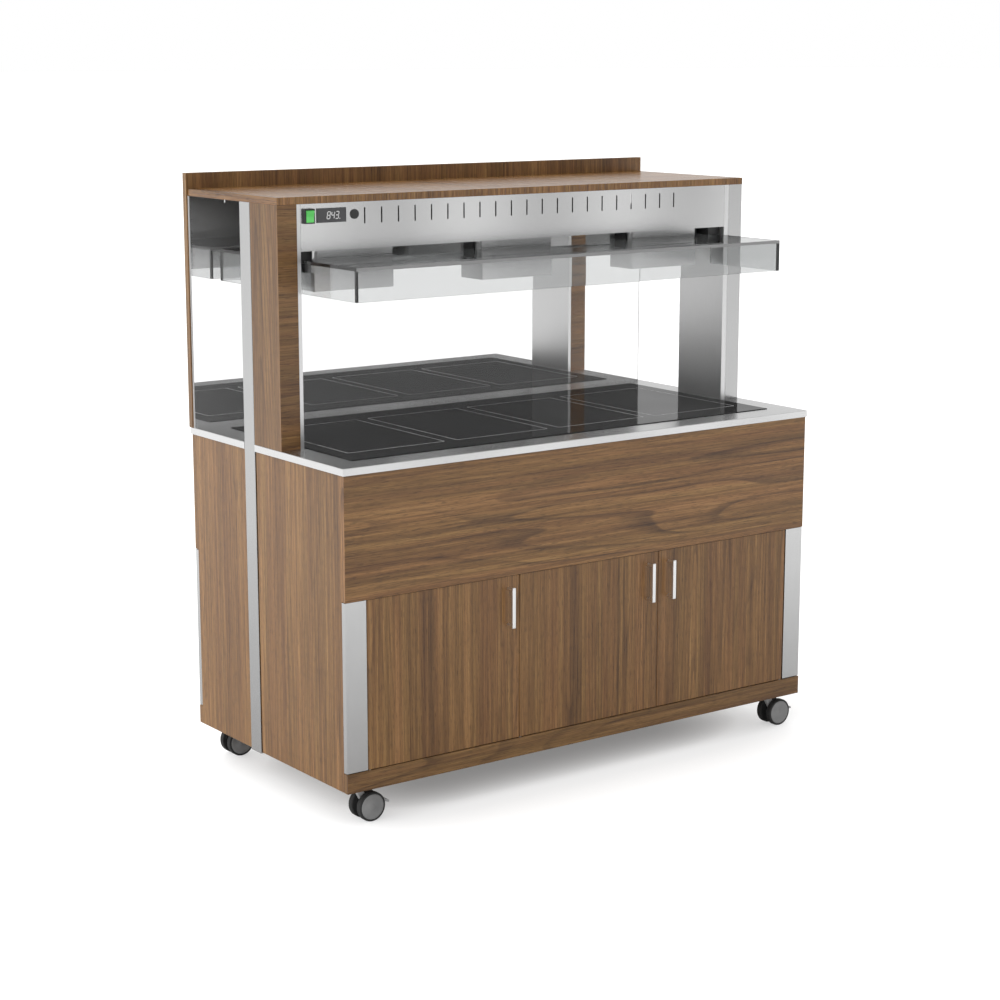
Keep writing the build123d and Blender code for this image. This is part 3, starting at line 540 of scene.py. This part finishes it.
def bar_outline(x0, z0, x1, z1):
    """Outline of one bar from point to point, pointed at both ends."""
    half = DIGIT_BAR / 2
    if abs(x1 - x0) > abs(z1 - z0):
        x0, x1 = x0 + DIGIT_GAP, x1 - DIGIT_GAP
        return [(x0, z0), (x0 + half, z0 + half), (x1 - half, z1 + half),
                (x1, z1), (x1 - half, z1 - half), (x0 + half, z0 - half)]
    z0, z1 = z0 + DIGIT_GAP, z1 - DIGIT_GAP
    return [(x0, z0), (x0 + half, z0 + half), (x1 + half, z1 - half),
            (x1, z1), (x1 - half, z1 - half), (x0 - half, z0 + half)]


def display_figures():
    low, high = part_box("display")
    centre_z = (low.z + high.z) / 2
    w, h = DIGIT_WIDTH / 2, DIGIT_HEIGHT / 2
    bars = {
        "a": (-w, h, w, h), "g": (-w, 0, w, 0), "d": (-w, -h, w, -h),
        "f": (-w, 0, -w, h), "b": (w, 0, w, h), "e": (-w, -h, -w, 0), "c": (w, -h, w, 0),
    }
    mesh = bmesh.new()
    for i, figure in enumerate(FIGURES):
        centre_x = low.x + FIGURES_START + DIGIT_WIDTH / 2 + i * DIGIT_PITCH
        for bar in DIGIT_BARS[figure]:
            prism(mesh, bar_outline(*bars[bar]), low.y, low.y - DIGIT_DEPTH,
                  lambda u, v, d: (centre_x + u + DIGIT_SLANT * v, d, centre_z + v))
    point = rounded_rectangle(POINT_HALF, POINT_HALF, POINT_HALF * POINT_ROUND)
    point_x = low.x + FIGURES_START + len(FIGURES) * DIGIT_PITCH - POINT_HALF
    prism(mesh, point, low.y, low.y - DIGIT_DEPTH, lambda u, v, d: (point_x + u, d, centre_z - h + v))
    new_piece("display_figures", mesh, "counter", digit_white)


display_figures()

# Cover discs on the outsides of the twin wheels
DISC_SEGMENTS = 64
DISC_RECESS = 1.0 * MM
DISC_PROFILE = (  # radius and height above the floor of the recess, in millimetres
    (5.0, 0.9), (5.6, 0.5), (7.5, 0.45), (8.0, 0.15), (24.0, 0.35),
    (27.5, 0.8), (31.6, 0.9), (32.2, 0.5), (32.2, 0.0),
)


def wheel_discs(corner):
    low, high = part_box(f"{corner}_wheels")
    centre_x, centre_z = (low.x + high.x) / 2, (low.z + high.z) / 2
    mesh = bmesh.new()
    for face, outward in ((low.y, -1), (high.y, 1)):
        floor = face - outward * DISC_RECESS
        loops = []
        for radius, height in DISC_PROFILE:
            loop = []
            for i in range(DISC_SEGMENTS):
                angle = 2 * math.pi * i / DISC_SEGMENTS
                loop.append(mesh.verts.new((
                    centre_x + radius * MM * math.cos(angle),
                    floor + outward * height * MM,
                    centre_z + radius * MM * math.sin(angle),
                )))
            loops.append(loop)
        mesh.faces.new(loops[0])
        mesh.faces.new(loops[-1])
        for first, second in zip(loops, loops[1:]):
            for i in range(DISC_SEGMENTS):
                j = (i + 1) % DISC_SEGMENTS
                mesh.faces.new((first[i], first[j], second[j], second[i]))
    piece = new_piece(f"{corner}_wheel_discs", mesh, f"{corner}_wheelset", disc_grey)
    for polygon in piece.data.polygons:
        polygon.use_smooth = len(polygon.vertices) == 4


for corner in ("front_left", "front_right", "rear_left", "rear_right"):
    wheel_discs(corner)


# Floor, surroundings and lamp
FLOOR_SIZE = 400.0
FLOOR_GREYS = (0.535, 0.555)
FLOOR_GLOW = 0.66  # brings the lit floor up to white
# Painted shadow: the floor's glow drops round the counter, so the floor there is darker than its light
# makes it
SHADE_SQUEEZE = (0.6, 1.0, 0.0)  # squeezes the painted shadow under the counter into a squarer shape
SHADE_CORE = (0.21, 0.14, 0.0)  # half the size of its darkest patch, so squeezed
SHADE_REACH = 0.20  # from that patch to where the shadow is nearly gone
SHADE_CURVE = 2.2  # how late it fades on the way
SHADE_TAIL = (0.26, 0.45)  # distance over which the rest of it goes
CORE_GLOW = 0.29  # share of the glow on the patch
EDGE_GLOW = 0.745  # share of it where the tail starts
FOOTPRINT = (0.70, 0.33, 0.0)  # half the size of the floor under the counter
MIRRORED_GLOW = (0.3, 3.5)  # distance from it over which the glow sets in, seen in shiny surfaces; nearer, they show a painted shade on the floor
FAR_GLOW = 0.75  # share of the glow that they see beyond that
THROUGH_GLASS = 0.45  # share of the glow that makes the floor just white behind glass
AMBIENT = 0.66
AMBIENT_LEFT = 1.35  # added on the left of the counter
AMBIENT_BACK = 1.8  # added behind it
WALLS = 0.145  # what shiny surfaces see above the floor in front of the counter
BACKDROP = 0.82  # what they see above it behind the counter
BACKDROP_EDGE = (0.0, 0.3)  # direction's Y over which the one turns into the other
CEILING = 1.0  # what they see high above the floor
CEILING_EDGE = (0.25, 0.45)  # direction's Z over which the ceiling sets in
WHITE = (1.0, 1.0, 1.0, 1.0)
KEY_PLACE = (-3.0, -3.2, 4.6)
KEY_STRENGTH = 0.45
KEY_ANGLE = 70.0  # degrees that the lamp's disc takes up in the sky


def make_floor():
    """A matt floor with the counter's shadow; its glow, less near the counter, makes it white in view and
    paints a shadow round the counter.
    """
    mesh = bmesh.new()
    bmesh.ops.create_grid(mesh, x_segments=1, y_segments=1, size=FLOOR_SIZE / 2)
    data = bpy.data.meshes.new("floor")
    mesh.to_mesh(data)
    mesh.free()
    floor = bpy.data.objects.new("floor", data)
    bpy.context.scene.collection.objects.link(floor)
    n = Nodes("floor_white")
    mottle = n.noise(n.place, scale=0.8, detail=2.0)
    n.tree.nodes.remove(n.shader)
    darker, lighter = FLOOR_GREYS
    matt = n.add("BsdfDiffuse", Color=n.ramp(mottle, [(0.3, grey(darker)), (0.7, grey(lighter))]))
    path = n.add("LightPath")
    through = n.math("MULTIPLY", path.outputs["Is Transmission Ray"], THROUGH_GLASS)
    straight = n.math("MAXIMUM", path.outputs["Is Camera Ray"], through)

    def distance_from(patch, place):
        outside = n.vector("SUBTRACT", n.vector("ABSOLUTE", place), patch)
        outside = n.vector("MAXIMUM", outside, (0.0, 0.0, 0.0))
        return n.add("VectorMath", {"operation": "LENGTH"}, Vector=outside).outputs["Value"]

    # Painted shadow: less glow for the camera near the counter
    away = distance_from(SHADE_CORE, n.vector("MULTIPLY", n.place, SHADE_SQUEEZE))
    fade = n.math("POWER", n.spread(away, 0.0, 1.0, (0.0, SHADE_REACH)), SHADE_CURVE)
    tail = n.spread(away, 0.0, 1.0 - EDGE_GLOW, SHADE_TAIL)
    glow_with_painted_shadow = n.math("ADD", n.spread(fade, CORE_GLOW, EDGE_GLOW, (0.0, 1.0)), tail)
    direct = n.math("MULTIPLY", straight, glow_with_painted_shadow)
    reflected = n.math("SUBTRACT", path.outputs["Is Glossy Ray"], path.outputs["Is Transmission Ray"])
    # Painted shade in reflections: shiny surfaces see less glow on the floor near the counter
    reflected_glow_with_painted_shade = n.spread(distance_from(FOOTPRINT, n.place), 0.0, FAR_GLOW, MIRRORED_GLOW)
    mirrored = n.math("MULTIPLY", reflected, reflected_glow_with_painted_shade)
    seen = n.math("MAXIMUM", direct, mirrored)
    glow = n.add("Emission", Strength=n.math("MULTIPLY", seen, FLOOR_GLOW))
    both = n.add("AddShader")
    n.feed(both.inputs[0], matt.outputs[0])
    n.feed(both.inputs[1], glow.outputs[0])
    n.feed(n.output.inputs["Surface"], both.outputs[0])
    data.materials.append(n.material)


def make_world():
    """White to the camera and through glass; other light is brighter from the left and from behind."""
    world = bpy.data.worlds.new("studio")
    bpy.context.scene.world = world
    world.use_nodes = True
    tree = world.node_tree
    tree.nodes.clear()

    def add(kind, *sources):
        node = tree.nodes.new("ShaderNode" + kind)
        for socket, source in zip(node.inputs, sources):
            if isinstance(source, bpy.types.NodeSocket):
                tree.links.new(source, socket)
            elif source is not None:
                socket.default_value = source
        return node

    def calculate(operation, first, second):
        node = add("Math", first, second)
        node.operation = operation
        return node.outputs[0]

    direction = add("TexCoord").outputs["Generated"]
    split = add("SeparateXYZ", direction)
    leftness = calculate("MAXIMUM", calculate("MULTIPLY", split.outputs["X"], -1.0), 0.0)
    backness = calculate("MAXIMUM", split.outputs["Y"], 0.0)
    left = calculate("MULTIPLY", leftness, AMBIENT_LEFT)
    back = calculate("MULTIPLY", backness, AMBIENT_BACK)
    level = calculate("ADD", calculate("ADD", left, back), AMBIENT)
    ambient = add("Background", WHITE, level)

    behind = add("MapRange", split.outputs["Y"], *BACKDROP_EDGE, WALLS, BACKDROP).outputs["Result"]
    above = add("MapRange", split.outputs["Z"], *CEILING_EDGE, 0.0, CEILING).outputs["Result"]
    walls = add("Background", WHITE, calculate("MAXIMUM", behind, above))
    white = add("Background", WHITE, 1.0)

    path = add("LightPath")
    unscattered = calculate("SUBTRACT", path.outputs["Is Glossy Ray"], path.outputs["Diffuse Depth"])
    shiny = add("MixShader", calculate("MAXIMUM", unscattered, 0.0), ambient.outputs[0], walls.outputs[0])
    direct = calculate("MAXIMUM", path.outputs["Is Camera Ray"], path.outputs["Is Transmission Ray"])
    final = add("MixShader", direct, shiny.outputs[0], white.outputs[0])
    add("OutputWorld", final.outputs[0])


def soft_sun(name, place, strength, angle):
    """A distant lamp with a wide disc, so that its shadows are soft; it shines from place to the origin."""
    light = bpy.data.lights.new(name, "SUN")
    light.energy = strength
    light.angle = math.radians(angle)
    lamp = bpy.data.objects.new(name, light)
    lamp.location = place
    lamp.rotation_euler = (-Vector(place)).to_track_quat("-Z", "Y").to_euler()
    lamp.visible_camera = False
    lamp.visible_glossy = False
    bpy.context.scene.collection.objects.link(lamp)


make_floor()
make_world()
soft_sun("key", KEY_PLACE, KEY_STRENGTH, KEY_ANGLE)

# Camera at the photograph's viewing angle
SENSOR_WIDTH = 36.0  # millimetres, as the lens
LENS = 79.89
CAMERA_PLACE = (-3.4746, -4.7338, 1.8601)
LOOKS_DOWN = 11.381  # degrees below level
LOOKS_RIGHT = 36.061  # degrees right of square on
camera_data = bpy.data.cameras.new("camera")
camera_data.sensor_width = SENSOR_WIDTH
camera_data.lens = LENS
camera = bpy.data.objects.new("camera", camera_data)
camera.location = CAMERA_PLACE
camera.rotation_euler = (math.radians(90 - LOOKS_DOWN), 0.0, math.radians(-LOOKS_RIGHT))
bpy.context.scene.collection.objects.link(camera)
bpy.context.scene.camera = camera

bpy.context.scene.view_settings.view_transform = "Standard"
